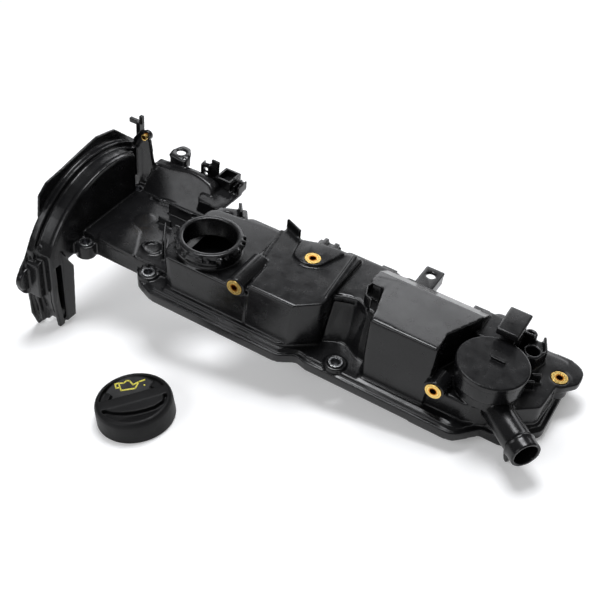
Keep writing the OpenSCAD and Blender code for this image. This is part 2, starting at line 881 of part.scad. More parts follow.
module brass_insert() {
    color(brass)
        difference() {
            union() {
                translate([0, 0, -insert_l])
                    cylinder(r = insert_r, h = insert_l - insert_head_t / 2);
                translate([0, 0, -insert_head_t])
                    cylinder(r = insert_head_r, h = insert_head_t + 0.4);
            }
            translate([0, 0, -insert_l - 1])
                cylinder(r = insert_bore_r, h = insert_l + 4);
        }
}

module small_insert() {
    color(brass)
        difference() {
            translate([0, 0, -small_l])
                cylinder(r = small_r, h = small_l + 0.3);
            translate([0, 0, -small_l - 1])
                cylinder(r = small_bore_r, h = small_l + 4);
        }
}

// Breather pieces

module breather_cap() {
    color(black)
        translate([breather_x, breather_y, 0]) {
            rotate_extrude()
                polygon([
                    [6, valve_face + 2], [8, valve_face + 2], [8, breather_h - 3], [bead_out, breather_h - 3],
                    [bead_out, breather_h - 4], [breather_r, breather_h - 4], [breather_r, breather_h - 0.8],
                    [breather_r - 1, breather_h], [0, breather_h], [0, breather_h - 2], [6, breather_h - 2]
                ]);
            // Lug on top
            translate([-3.5, 2, breather_h - 1])
                cube([11.5, 3, 3.4]);
        }
}

// Rolling diaphragm: its bead is held under the cap, and its inner edge rides with the valve
module breather_diaphragm() {
    color(rubber_black)
        translate([breather_x, breather_y, 0])
            rotate_extrude()
                polygon([
                    [10.9, valve_face + 0.4], [13.4, valve_face + 0.2], [17, valve_face + 1.8],
                    [19, bead_z + 0.6], [20.6, bead_z + 0.9], [bead_in, bead_z], [bead_out, bead_z],
                    [bead_out, breather_h - 3], [bead_in, breather_h - 3], [20.6, bead_z + 2.1],
                    [18.6, bead_z + 1.9], [16.4, valve_face + 3.2], [13.2, valve_face + 1.6], [10.9, valve_face + 1.7]
                ]);
}

module breather_valve() {
    color(black)
        translate([breather_x, breather_y, valve_face])
            rotate_extrude()
                polygon([[0, 0], [10.6, 0], [10.6, 2], [0, 2]]);
}

spring_wire = 0.6;
spring_turns = 5;
spring_steps = 22;

// Coil spring under the valve, as one skin along its helix
module breather_spring() {
    r = port_r + 3.6;
    z0 = valve_floor + spring_wire;
    rise = valve_face - valve_floor - 2 * spring_wire;
    n = spring_turns * spring_steps;
    rings = [
        for (i = [0:n])
            let (a = 360 * i / spring_steps, z = z0 + rise * i / n)
            [
                for (k = [0:5])
                    let (q = r + spring_wire * cos(60 * k))
                    [q * cos(a), q * sin(a), z + spring_wire * sin(60 * k)]
            ]
    ];
    color(steel)
        translate([breather_x, breather_y, 0])
            loft(rings);
}

// Clips

module rear_clip() {
    color(black)
        translate([-10, apron_back + 0.5, 33.2])
            difference() {
                cube([16, 18, 9]);
                translate([2, 2, 2])
                    cube([12, 14, 10]);
            }
}

module post_clip() {
    color(black)
        translate([arch_x1 - 13.6, 102.4, 52.3]) {
            cube([4, 7, 21.7]);
            translate([-9, 2, 17.7])
                cube([10, 3.2, 4]);
            translate([2, 2, 19.7])
                cube([3.4, 3.2, 8]);
        }
}

// Oil cap, lying beside the cover on the ground

module on_ground() {
    translate([56, -91, -47.6])
        rotate([0, -ground_slope, 0])
            children();
}

cap_roof = cap_h - 11.6;
cap_grip = 5;
cap_grip_turn = 50;
cap_scoop = 7.4;

// Two scoops leave the grip bar across the top of the cap
module cap_scoops() {
    for (side = [0, 180])
        rotate([0, 0, cap_grip_turn + side])
            intersection() {
                translate([0, 0, 2])
                    cylinder(r = cap_r - 5, h = cap_h);
                translate([-40, 0, 0])
                    rotate([90, 0, 90])
                        linear_extrude(80)
                            polygon([
                                [cap_grip, cap_h + 1], [cap_grip + 1, cap_h - cap_scoop],
                                [cap_grip + 4, cap_h - cap_scoop], [cap_r - 6, cap_h - 1.2], [cap_r, cap_h - 1], [cap_r, cap_h + 1]
                            ]);
            }
}

module oil_cap_shell() {
    color(black)
        on_ground()
            difference() {
                rotate_extrude()
                    polygon([
                        [0, 0], [cap_r - 0.6, 0], [cap_r, 0.8], [cap_r - 0.5, cap_h - 4], [cap_r - 1.6, cap_h - 1.2],
                        [cap_r - 3.6, cap_h], [0, cap_h]
                    ]);
                translate([0, 0, -1])
                    cylinder(r = cap_r - cap_wall, h = cap_roof + 1);
                cap_scoops();
            }
}

// Lock ring with the two bayonet lugs that grip the neck's collar
module oil_cap_lock_ring() {
    color(black)
        on_ground() {
            translate([0, 0, 0.6])
                tube(neck_bore_r - 1, neck_bore_r - 3.6, cap_roof - 0.6);
            for (a = [0, 180])
                rotate([0, 0, a])
                    translate([neck_bore_r - 2, -5, 0.6])
                        cube([2.6, 10, 2.4]);
        }
}

module oil_cap_seal() {
    color(rubber_black)
        on_ground()
            translate([0, 0, cap_roof - 2.6])
                tube(neck_bore_r + 5, neck_bore_r - 0.8, 2.6);
}

cover_moulding();
perimeter_gasket();
separator_baffle();
bolt_sleeve(0);  // bolt_sleeve_1
bolt_sleeve(1);  // bolt_sleeve_2
bolt_sleeve(2);  // bolt_sleeve_3
bolt_sleeve(3);  // bolt_sleeve_4
bolt_sleeve(4);  // bolt_sleeve_5
bolt_sleeve(5);  // bolt_sleeve_6
bolt_sleeve(6);  // bolt_sleeve_7
bolt_sleeve(7);  // bolt_sleeve_8
place_deck() brass_insert();  // insert_deck
place_corner() brass_insert();  // insert_corner
place_front() brass_insert();  // insert_front
place_tab() brass_insert();  // insert_tab
place_post() small_insert();  // insert_post
breather_cap();
breather_diaphragm();
breather_valve();
breather_spring();
rear_clip();
post_clip();
oil_cap_shell();
oil_cap_lock_ring();
oil_cap_seal();
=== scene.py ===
"""Engine valve cover: the looks of its pieces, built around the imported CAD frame."""

import math

import bmesh
import bpy
from mathutils import Matrix, Vector
from mathutils.bvhtree import BVHTree


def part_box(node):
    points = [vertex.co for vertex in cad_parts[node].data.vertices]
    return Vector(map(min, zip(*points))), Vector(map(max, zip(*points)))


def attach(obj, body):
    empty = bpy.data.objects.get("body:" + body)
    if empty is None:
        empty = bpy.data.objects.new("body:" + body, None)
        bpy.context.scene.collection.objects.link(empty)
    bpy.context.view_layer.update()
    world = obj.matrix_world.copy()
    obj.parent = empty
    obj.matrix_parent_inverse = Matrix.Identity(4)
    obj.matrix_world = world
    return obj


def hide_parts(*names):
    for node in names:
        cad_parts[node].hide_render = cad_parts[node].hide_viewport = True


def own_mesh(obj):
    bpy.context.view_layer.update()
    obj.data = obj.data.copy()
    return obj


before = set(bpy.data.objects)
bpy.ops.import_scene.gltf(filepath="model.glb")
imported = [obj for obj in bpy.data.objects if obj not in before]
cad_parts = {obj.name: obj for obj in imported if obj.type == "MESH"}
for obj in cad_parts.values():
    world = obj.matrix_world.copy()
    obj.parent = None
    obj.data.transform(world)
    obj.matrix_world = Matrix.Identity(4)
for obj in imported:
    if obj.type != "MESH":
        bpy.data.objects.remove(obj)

bl_info = {
    "name": "Engine valve cover",
    "version": (1, 0, 0),
    "blender": (4, 5, 0),
    "location": "View3D > Sidebar > Valve cover",
    "description": "Moulded skin, metal parts, oil cap and studio for an engine valve cover",
    "category": "Object",
}

# Lengths are in millimetres, or in metres once they are multiplied by this
MM = 0.001

# The oil cap: its foot is a place in the row frame, and the rest is in its own axes, with angles in degrees
CAP_FOOT = (56.0, -91.0, -47.6)
CAP_TOP = 20.0
CAP_TURN = 48.0
CAP_VOXEL = 0.5 * MM
CAP_RELAX_ROUNDS = 14
GRIP_FRONT = (
    (-15.0, -21.5), (-5.0, -20.5), (3.0, -17.0), (10.0, -12.0), (16.0, -6.0), (21.0, 1.0), (23.0, 9.0))
GRIP_BACK = ((20.0, 14.0), (0.0, -2.0), (-16.0, -17.0))
GRIP_FOOT = CAP_TOP - 10.0
GRIP_TOP = CAP_TOP - 0.4
SCOOP_REACH = 27.0
SCOOP_FLOOR = CAP_TOP - 4.2
CRESCENT_STARTS = (CAP_TURN, CAP_TURN + 140.0)
CRESCENT_ARC = 40.0
CRESCENT_RADII = (20.5, SCOOP_REACH + 0.5)
CRESCENT_TOP = CAP_TOP - 3.4

# Strokes of the oil-can sign in the cap's own plan
OIL_MARK = (
    ((-22.6, 9.5), (-19.3, 11.9), (-18.6, 14.9), (-16.4, 16.1), (-12.3, 14.8), (-9.8, 19.5), (-6.9, 23.7)),
    ((-22.6, 9.5), (-17.4, 5.5), (-9.0, 13.2), (-9.8, 19.5)),
    ((-22.6, 9.5), (-24.4, 7.3), (-21.9, 4.8), (-19.6, 7.1)))
OIL_DRIP = (-4.5, 19.7)
MARK_WIDTH = 1.2
MARK_STEP = 1.5
MARK_OVERRUN = MARK_WIDTH * 0.3
MARK_LIFT = 0.12 * MM
STROKE_HEIGHT = 1.0
DRIP_RADIUS = MARK_WIDTH * 0.62
DRIP_SIDES = 12
RAY_START = CAP_TOP + 8.0

# Details of the moulding. A ring holds its radii and levels, and a sector its radii, its angles in
# degrees and its levels. A rib holds its points in plan, its width and its levels.
RIB_SIDES = 16
NECK = (46.5, 22.8)
NECK_TOP = 60.0
NECK_RIM = (22.3, 27.0, NECK_TOP - 2.6, NECK_TOP + 0.7)
TOOTH_STARTS = (32.0, 20.0, 8.0, -4.0, 196.0, 208.0, 220.0, 232.0)
TOOTH_ARC = 5.0
TOOTH_RADII = (26.0, 29.4)
TOOTH_LEVELS = (NECK_TOP - 4.0, NECK_TOP + 0.2)
LOCK_RAMPS = (
    (24.0, 30.0, 226.0, 262.0, NECK_TOP - 9.0, NECK_TOP - 5.5),
    (24.0, 29.5, 262.0, 292.0, NECK_TOP - 6.5, NECK_TOP - 2.0),
    (24.0, 30.5, 318.0, 324.0, NECK_TOP - 7.0, NECK_TOP - 1.0))

DECK_PATCH = (
    (-61.8, 13.2), (-56.3, 3.7), (-17.8, 3.9), (-23.9, 15.9), (-34.3, 33.8), (-49.9, 39.8), (-59.7, 27.0))
DECK_PATCH_LEVELS = (16.0, 19.2)
DECK_BUTTON = (-41.0, 50.0)
BUTTON_RING_RADII = (5.6, 7.2)
BUTTON_RADIUS = 2.4
BUTTON_LEVELS = (17.0, 18.35)
DECK_COLLAR = (-12.0, 21.5)
COLLAR_SECTOR = (7.4, 9.4, 20.0, 200.0, 16.0, 20.6)
DECK_RIBS = (
    (((-59.8, 81.0), (-46.0, 78.5), (-36.0, 80.5), (-22.0, 80.5), (-5.5, 81.0)), 1.8, 17.0, 20.4),
    (((155.0, 26.0), (167.0, 33.6), (177.5, 36.6), (188.0, 31.5)), 2.0, 45.0, 50.6),
    (((157.5, 21.0), (152.8, 77.7)), 2.0, 50.0, 55.6),
    (((92.0, 33.0), (86.0, 70.0)), 1.8, 50.0, 55.2))

# The ribs of the separator box have levels from its sloping top
BOX_TOP_SLOPE = -0.0928
BOX_TOP_HEIGHT = 68.0
BOX_RIBS = (
    (((183.6, 48.5), (182.0, 40.0), (186.2, 29.0), (192.4, 26.4)), 1.8, -9.0, 0.3),
    (((182.4, 50.0), (182.8, 56.5), (186.0, 59.0), (193.2, 60.5), (199.6, 63.5)), 1.8, -3.0, 0.5))

# A box holds its low and its high corner
CLIP_UPRIGHTS = (
    ((-28.6, 116.0, 30.0), (-26.6, 124.0, 48.0)),
    ((-20.6, 116.0, 30.0), (-18.6, 124.0, 48.5)))
CLIP_RUNG_PLAN = ((-28.6, 118.0), (-18.6, 121.0))
CLIP_RUNG_LEVELS = (33.0, 38.0, 43.0, 46.5)
CLIP_RUNG_HEIGHT = 1.8
CLIP_TAB = ((-18.6, 119.0, 33.0), (-10.0, 121.4, 54.0))
CLIP_SHELF = ((-29.0, 112.0), (-12.0, 112.0), (-9.0, 126.0), (-27.0, 126.0))
CLIP_SHELF_LEVELS = (29.0, 31.5)
CLIP_FIN_PLACES = (5.0, 9.5, 14.0)
CLIP_FIN_WIDTH = 1.8
CLIP_FIN_SIDE = ((113.0, 32.0), (127.0, 41.0))
CLIP_BAR = ((4.0, 120.0, 39.5), (16.0, 122.2, 43.4))
BRACKET_SKIRTS = (
    ((-57.5, 108.6, 33.0), (-40.5, 111.4, 47.0)),
    ((-42.6, 109.0, 38.0), (-40.4, 119.0, 48.0)))

BREATHER_RIBS = (
    (((306.0, 62.0), (318.0, 66.0), (322.0, 78.0), (316.0, 92.0)), 2.2, 29.0, 43.0),
    (((292.0, 80.0), (300.0, 84.0), (308.0, 84.0)), 2.2, 29.0, 48.0))
BREATHER_FINS = ((323.0, 44.0), (325.0, 54.0))
FIN_LOW = (-5.0, -0.9, 29.0)
FIN_HIGH = (3.0, 0.9, 40.0)
FIN_TURN = 0.5

# The skin of the moulding. A soft zone holds its low corner, its high corner and its rounds.
WELD = 0.002 * MM
SKIN_VOXEL = 0.78 * MM
SKIN_RELAX = 0.5
SKIN_RELAX_ROUNDS = 4
SKIN_KEEP = 0.175
SOFT_BORDER = 4.0 * MM
SOFT_RELAX = 0.6
SOFT_ZONES = (
    ((190.0, -8.0, 18.0), (224.0, 24.0, 76.0), 40),
    ((-74.0, 98.0, 30.0), (6.0, 124.0, 52.0), 24))

# Colour bands of the round metal pieces: share of the radius, and colour factor
SLEEVES = tuple(f"bolt_sleeve_{number}" for number in range(1, 9))
# The sleeves' dark inner bands are painted shade in the bore
SLEEVE_BORE_SHADE = (
    (0.60, (0.25, 0.25, 0.26)), (0.76, (0.30, 0.30, 0.31)),
    (0.82, (1.0, 1.0, 1.0)), (1.0, (1.0, 1.0, 1.0)))
INSERTS = ("insert_deck", "insert_corner", "insert_front", "insert_tab", "insert_post")
# The inserts are darker and more orange towards the hole, with a thin darker ring near the rim
INSERT_BANDS = (
    (0.42, (0.45, 0.20, 0.06)), (0.52, (0.90, 0.55, 0.25)), (0.60, (1.0, 0.95, 0.85)),
    (0.72, (1.0, 1.0, 1.0)), (0.77, (0.55, 0.42, 0.22)), (0.82, (1.0, 0.98, 0.9)),
    (1.0, (0.95, 0.85, 0.7)))
ROUND_SLACK = 0.4 * MM

# The studio. A lamp holds its name, its place and size in metres, and the setting of its brightness.
CAMERA_PLACE = Vector((396.08, -507.73, 573.0)) * MM
CAMERA_HEADING = math.radians(26.31)
CAMERA_TILT = math.radians(42.21)
CAMERA_ROLL = math.radians(6.515)
SENSOR_WIDTH = 36.0
VIEW_END = 50.0
FLOOR_PIVOT = Vector((345.0, 0.0, 0.0)) * MM
FLOOR_HALF = 6.0
FLOOR_GREY = 0.86
STUDIO_CENTRE = Vector((0.13, 0.03, 0.03))
STUDIO_LAMPS = (
    ("key", (-0.15, 0.30, 1.45), (0.62, 0.5), "key"),
    ("back_panel", (-0.25, 1.5, 0.75), (1.6, 0.7), "backdrop"),
    ("front_panel", (-0.55, -1.35, 1.05), (1.2, 0.8), "front"))
COOL_WHITE = (0.965, 0.975, 1.0)

# Settings


class ValveCoverColours(bpy.types.PropertyGroup):
    """Colours of the finishes."""

    nylon: bpy.props.FloatVectorProperty(
        name="Nylon", description="Glass-filled nylon of the moulding", subtype="COLOR",
        size=3, min=0.0, max=1.0, default=(0.0055, 0.0055, 0.006))
    cap: bpy.props.FloatVectorProperty(
        name="Oil cap", description="Matte plastic of the oil cap", subtype="COLOR",
        size=3, min=0.0, max=1.0, default=(0.0045, 0.0045, 0.0048))
    mark: bpy.props.FloatVectorProperty(
        name="Oil mark", description="Printed oil-can mark on the cap", subtype="COLOR",
        size=3, min=0.0, max=1.0, default=(0.80, 0.72, 0.10))
    brass: bpy.props.FloatVectorProperty(
        name="Brass", description="Threaded inserts", subtype="COLOR",
        size=3, min=0.0, max=1.0, default=(0.95, 0.70, 0.25))
    steel: bpy.props.FloatVectorProperty(
        name="Steel", description="Bolt sleeves and the valve spring", subtype="COLOR",
        size=3, min=0.0, max=1.0, default=(0.62, 0.63, 0.64))
    rubber: bpy.props.FloatVectorProperty(
        name="Rubber", description="Gasket, diaphragm and cap seal", subtype="COLOR",
        size=3, min=0.0, max=1.0, default=(0.012, 0.012, 0.012))


class ValveCoverStage(bpy.types.PropertyGroup):
    """Camera, lamps and floor."""

    lens: bpy.props.FloatProperty(
        name="Lens", description="Focal length of the camera", default=59.94, min=10.0, unit="CAMERA")
    slope: bpy.props.FloatProperty(
        name="Floor slope", description="How far the floor leans, because the cover rests on its arch",
        default=math.atan(0.165), unit="ROTATION")
    key: bpy.props.FloatProperty(
        name="Key lamp", description="Brightness of the soft lamp overhead, where 1 is white",
        default=18.0, min=0.0)
    backdrop: bpy.props.FloatProperty(
        name="Back panel", description="Brightness of the low panel behind the cover, where 1 is white",
        default=3.5, min=0.0)
    front: bpy.props.FloatProperty(
        name="Front panel", description="Brightness of the panel in front on the left, where 1 is white",
        default=3.5, min=0.0)
    glow: bpy.props.FloatProperty(
        name="Floor white",
        description="White that the floor adds where the camera or a reflection sees it",
        default=0.24, min=0.0, max=1.0)
    sky: bpy.props.FloatProperty(
        name="Room", description="Brightness of the room all round, where 1 is white",
        default=0.14, min=0.0)


# Materials


def new_material(name):
    material = bpy.data.materials.new(name)
    material.use_nodes = True
    tree = material.node_tree
    tree.nodes.clear()
    output = tree.nodes.new("ShaderNodeOutputMaterial")
    shader = tree.nodes.new("ShaderNodeBsdfPrincipled")
    tree.links.new(shader.outputs[0], output.inputs[0])
    return material, tree, shader


def object_noise(tree, scale, detail=4.0, roughness=0.55, stretch=(1.0, 1.0, 1.0)):
    """A noise on the piece's own coordinates; its scale is in cells per metre."""
    place = tree.nodes.new("ShaderNodeTexCoord")
    mapping = tree.nodes.new("ShaderNodeMapping")
    mapping.inputs["Scale"].default_value = stretch
    noise = tree.nodes.new("ShaderNodeTexNoise")
    noise.inputs["Scale"].default_value = scale
    noise.inputs["Detail"].default_value = detail
    noise.inputs["Roughness"].default_value = roughness
    tree.links.new(place.outputs["Object"], mapping.inputs["Vector"])
    tree.links.new(mapping.outputs[0], noise.inputs["Vector"])
    return noise


def ramp(tree, source, low, high, low_at=0.35, high_at=0.65):
    """A colour or grey ramp between two values."""
    node = tree.nodes.new("ShaderNodeValToRGB")
    node.color_ramp.elements[0].position = low_at
    node.color_ramp.elements[1].position = high_at
    for element, value in zip(node.color_ramp.elements, (low, high)):
        element.color = (*value, 1.0) if hasattr(value, "__len__") else (value, value, value, 1.0)
    tree.links.new(source.outputs[0], node.inputs[0])
    return node


def scaled(colour, factor):
    return tuple(channel * factor for channel in colour)


def grain_bump(tree, shader, strength, fine_scale, depth, rounded=0.0):
    """Fine moulded grain; rounded softens the edges of flat CAD faces."""
    grain = object_noise(tree, scale=fine_scale, detail=3.0, roughness=0.6)
    bump = tree.nodes.new("ShaderNodeBump")
    bump.inputs["Strength"].default_value = strength
    bump.inputs["Distance"].default_value = depth
    tree.links.new(grain.outputs[0], bump.inputs["Height"])
    if rounded:
        bevel = tree.nodes.new("ShaderNodeBevel")
        bevel.samples = 8
        bevel.inputs["Radius"].default_value = rounded
        tree.links.new(bevel.outputs[0], bump.inputs["Normal"])
    tree.links.new(bump.outputs[0], shader.inputs["Normal"])


def moulded_nylon(colour, name="moulded_nylon", rough=(0.19, 0.29), rounded=0.8 * MM, gloss_level=0.36):
    """Black glass-filled nylon: satin, with flow clouds, a patchy sheen and fine grain."""
    material, tree, shader = new_material(name)
    clouds = object_noise(tree, scale=38.0, detail=5.0, stretch=(0.7, 1.2, 1.0))
    tint = ramp(tree, clouds, low=scaled(colour, 0.75), high=scaled(colour, 1.45))
    tree.links.new(tint.outputs[0], shader.inputs["Base Color"])
    sheen = object_noise(tree, scale=120.0, detail=6.0)
    gloss = ramp(tree, sheen, low=rough[0], high=rough[1], low_at=0.3, high_at=0.7)
    tree.links.new(gloss.outputs[0], shader.inputs["Roughness"])
    shader.inputs["Specular IOR Level"].default_value = gloss_level
    grain_bump(tree, shader, strength=0.10, fine_scale=2600.0, depth=0.12 * MM, rounded=rounded)
    return material


def cap_plastic(colour):
    """Matte plastic of the oil cap."""
    return moulded_nylon(colour, "cap_plastic", rough=(0.46, 0.58), rounded=0.6 * MM, gloss_level=0.22)


def seal_rubber(colour):
    """Dull black rubber with a little dust."""
    material, tree, shader = new_material("seal_rubber")
    dust = object_noise(tree, scale=90.0)
    tint = ramp(tree, dust, low=scaled(colour, 0.8), high=scaled(colour, 1.6))
    tree.links.new(tint.outputs[0], shader.inputs["Base Color"])
    gloss = ramp(tree, dust, low=0.55, high=0.75)
    tree.links.new(gloss.outputs[0], shader.inputs["Roughness"])
    grain_bump(tree, shader, strength=0.15, fine_scale=1800.0, depth=0.1 * MM)
    return material


def ring_bands(tree, centre, across, bands, reach):
    """Colour bands by the distance from a round piece's axis, as (share of the reach, colour) pairs."""
    place = tree.nodes.new("ShaderNodeTexCoord")
    mapping = tree.nodes.new("ShaderNodeMapping")
    mapping.inputs["Location"].default_value = [-value * flat for value, flat in zip(centre, across)]
    mapping.inputs["Scale"].default_value = across
    length = tree.nodes.new("ShaderNodeVectorMath")
    length.operation = "LENGTH"
    share = tree.nodes.new("ShaderNodeMath")
    share.operation = "DIVIDE"
    share.inputs[1].default_value = reach
    node = tree.nodes.new("ShaderNodeValToRGB")
    tree.links.new(place.outputs["Object"], mapping.inputs["Vector"])
    tree.links.new(mapping.outputs[0], length.inputs[0])
    tree.links.new(length.outputs["Value"], share.inputs[0])
    tree.links.new(share.outputs[0], node.inputs[0])
    elements = node.color_ramp.elements
    elements[0].position, elements[1].position = bands[0][0], bands[-1][0]
    elements[0].color, elements[1].color = (*bands[0][1], 1.0), (*bands[-1][1], 1.0)
    for position, colour in bands[1:-1]:
        elements.new(position).color = (*colour, 1.0)
    return node


def worked_metal(name, colour, rough, rounded, bands=None):
    """Turned metal: light tarnish in its colour, fine tool marks, and colour bands across its radius if it
    is a ring, which paint shade into a sleeve's bore.
    """
    material, tree, shader = new_material(name)
    shader.inputs["Metallic"].default_value = 1.0
    tarnish = object_noise(tree, scale=420.0, detail=5.0)
    tint = ramp(tree, tarnish, low=scaled(colour, 0.78), high=colour)
    if bands is None:
        tree.links.new(tint.outputs[0], shader.inputs["Base Color"])
    else:
        mix = tree.nodes.new("ShaderNodeMix")
        mix.data_type = "RGBA"
        mix.blend_type = "MULTIPLY"
        mix.inputs["Factor"].default_value = 1.0
        bands_and_bore_shade = ring_bands(tree, *bands)
        tree.links.new(tint.outputs[0], mix.inputs["A"])
        tree.links.new(bands_and_bore_shade.outputs[0], mix.inputs["B"])
        tree.links.new(mix.outputs["Result"], shader.inputs["Base Color"])
    marks = object_noise(tree, scale=900.0, detail=4.0, stretch=(1.0, 1.0, 6.0))
    gloss = ramp(tree, marks, low=rough[0], high=rough[1])
    tree.links.new(gloss.outputs[0], shader.inputs["Roughness"])
    grain_bump(tree, shader, strength=0.12, fine_scale=2200.0, depth=0.08 * MM, rounded=rounded)
    return material


def printed_mark(colour):
    """Worn print of the oil-can sign."""
    material, tree, shader = new_material("printed_mark")
    wear = object_noise(tree, scale=900.0, detail=3.0)
    tint = ramp(tree, wear, low=scaled(colour, 0.82), high=colour, low_at=0.3, high_at=0.6)
    tree.links.new(tint.outputs[0], shader.inputs["Base Color"])
    gloss = ramp(tree, wear, low=0.4, high=0.55)
    tree.links.new(gloss.outputs[0], shader.inputs["Roughness"])
    return material


def dress(names, material):
    """Gives CAD nodes a procedural material."""
    for name in names:
        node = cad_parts[name]
        if not node.material_slots:
            node.data.materials.append(material)
        for slot in node.material_slots:
            slot.material = material


# Making pieces


def new_piece(name, shape, material):
    """Turns a finished bmesh into an object at the origin."""
    mesh = bpy.data.meshes.new(name)
    shape.to_mesh(mesh)
    shape.free()
    for face in mesh.polygons:
        face.use_smooth = True
    mesh.materials.append(material)
    piece = bpy.data.objects.new(name, mesh)
    bpy.context.collection.objects.link(piece)
    return piece


def solid_of(node):
    """A closed copy of a CAD node's mesh, in metres."""
    shape = bmesh.new()
    shape.from_mesh(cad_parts[node].data)
    bmesh.ops.remove_doubles(shape, verts=shape.verts, dist=WELD)
    return shape


def settle(piece):
    """Replaces a piece's mesh by the result of its modifiers."""
    scene_graph = bpy.context.evaluated_depsgraph_get()
    finished = bpy.data.meshes.new_from_object(piece.evaluated_get(scene_graph))
    piece.modifiers.clear()
    piece.data = finished
    for face in finished.polygons:
        face.use_smooth = True


def add_box(shape, low, high, turn=0.0):
    """Adds a closed box between two corners in millimetres, turned about its middle in radians."""
    low, high = Vector(low) * MM, Vector(high) * MM
    middle, span = (low + high) / 2, high - low
    place = Matrix.Translation(middle) @ Matrix.Rotation(turn, 4, "Z") @ Matrix.Diagonal((*span, 1.0))
    bmesh.ops.create_cube(shape, size=1.0, matrix=place)


def add_post(shape, centre, radius, bottom, top, sides=32):
    """Adds a closed upright cylinder, in millimetres."""
    place = Matrix.Translation(Vector((*centre, (bottom + top) / 2)) * MM)
    bmesh.ops.create_cone(
        shape, cap_ends=True, segments=sides, radius1=radius * MM, radius2=radius * MM,
        depth=(top - bottom) * MM, matrix=place)


def add_plate(shape, outline, bottom, top):
    """Adds a flat plate from its outline in plan, in millimetres."""
    known = set(shape.faces)
    corners = [shape.verts.new(Vector((x, y, bottom)) * MM) for x, y in outline]
    base = shape.faces.new(corners)
    grown = bmesh.ops.extrude_face_region(shape, geom=[base])
    risen = [item for item in grown["geom"] if isinstance(item, bmesh.types.BMVert)]
    bmesh.ops.translate(shape, vec=Vector((0.0, 0.0, (top - bottom) * MM)), verts=risen)
    bmesh.ops.recalc_face_normals(shape, faces=list(set(shape.faces) - known))


def arc_points(centre, radius, start, end, steps=24):
    """Points along an arc in plan, with its angles in degrees."""
    angles = [math.radians(start + (end - start) * step / steps) for step in range(steps + 1)]
    return [
        (centre[0] + radius * math.cos(angle), centre[1] + radius * math.sin(angle)) for angle in angles]


def add_sector(shape, centre, inner, outer, start, end, bottom, top):
    """Adds a piece of a flat ring between two angles in degrees."""
    outline = arc_points(centre, outer, start, end) + arc_points(centre, inner, end, start)
    add_plate(shape, outline, bottom, top)


def add_ring(shape, centre, inner, outer, bottom, top, steps=96):
    """Adds a flat ring by spinning its section."""
    known = set(shape.faces)
    corners = [(inner, bottom), (outer, bottom), (outer, top), (inner, top)]
    section = [shape.verts.new(Vector((centre[0] + r, centre[1], z)) * MM) for r, z in corners]
    sides = [shape.edges.new((section[i], section[(i + 1) % 4])) for i in range(4)]
    bmesh.ops.spin(
        shape, geom=section + sides, cent=Vector((*centre, 0.0)) * MM, axis=(0.0, 0.0, 1.0),
        angle=math.tau, steps=steps, use_merge=True)
    bmesh.ops.recalc_face_normals(shape, faces=list(set(shape.faces) - known))


def add_rib(shape, points, width, bottom, top):
    """Adds an upright rib along points in plan, with rounded joints."""
    for start, end in zip(points, points[1:]):
        along = Vector(end) - Vector(start)
        middle = (Vector(end) + Vector(start)) / 2
        half = Vector((along.length / 2, width / 2))
        low = (middle.x - half.x, middle.y - half.y, bottom)
        high = (middle.x + half.x, middle.y + half.y, top)
        add_box(shape, low, high, math.atan2(along.y, along.x))
    for point in points:
        add_post(shape, point, width / 2, bottom, top, sides=RIB_SIDES)


def slanted(shape, known, height):
    """Lifts the points that aren't among the known ones, so that they follow the slope of the box top."""
    for vert in set(shape.verts) - known:
        vert.co.z += BOX_TOP_SLOPE * vert.co.y + height * MM


def soften(piece, low, high, rounds):
    """Rounds a skin further inside a box given in millimetres, fading out towards its sides."""
    group = piece.vertex_groups.new(name="soft")
    low, high = Vector(low) * MM, Vector(high) * MM
    for vert in piece.data.vertices:
        depth = min(min(vert.co[axis] - low[axis], high[axis] - vert.co[axis]) for axis in range(3))
        if depth > 0.0:
            group.add((vert.index,), min(1.0, depth / SOFT_BORDER), "REPLACE")
    relax = piece.modifiers.new("soften", "SMOOTH")
    relax.factor = SOFT_RELAX
    relax.iterations = rounds
    relax.vertex_group = group.name
    settle(piece)
    piece.vertex_groups.clear()


def moulded_skin(name, shape, material, voxel=SKIN_VOXEL, rounds=SKIN_RELAX_ROUNDS, soft_zones=()):
    """Fuses closed shapes into one moulding whose edges and corners are all rounded."""
    piece = new_piece(name, shape, material)
    fuse = piece.modifiers.new("fuse", "REMESH")
    fuse.mode = "VOXEL"
    fuse.voxel_size = voxel
    relax = piece.modifiers.new("relax", "SMOOTH")
    relax.factor = SKIN_RELAX
    relax.iterations = rounds
    if soft_zones:
        settle(piece)
    for low, high, zone_rounds in soft_zones:
        soften(piece, low, high, zone_rounds)
    thin = piece.modifiers.new("thin", "DECIMATE")
    thin.ratio = SKIN_KEEP
    settle(piece)
    return piece


def round_bands(name, shares):
    """Centre, flat axes, bands and outer radius of a round metal piece that looks up or to the front."""
    low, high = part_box(name)
    middle = [(a + b) / 2 for a, b in zip(low, high)]
    spans = [b - a for a, b in zip(low, high)]
    upright = abs(spans[0] - spans[1]) < ROUND_SLACK
    across = (1.0, 1.0, 0.0) if upright else (1.0, 0.0, 1.0)
    return middle, across, shares, spans[0] / 2


# Pieces


def add_neck_details(shape):
    """Wide rim of the filler neck, its comb of small teeth and its locking ramps."""
    add_ring(shape, NECK, *NECK_RIM)
    for start in TOOTH_STARTS:
        add_sector(shape, NECK, *TOOTH_RADII, start, start + TOOTH_ARC, *TOOTH_LEVELS)
    for sector in LOCK_RAMPS:
        add_sector(shape, NECK, *sector)


def add_deck_details(shape):
    """Low raised forms and ribs on the decks."""
    add_plate(shape, DECK_PATCH, *DECK_PATCH_LEVELS)
    add_ring(shape, DECK_BUTTON, *BUTTON_RING_RADII, *BUTTON_LEVELS)
    add_post(shape, DECK_BUTTON, BUTTON_RADIUS, *BUTTON_LEVELS)
    add_sector(shape, DECK_COLLAR, *COLLAR_SECTOR)
    for rib in DECK_RIBS:
        add_rib(shape, *rib)


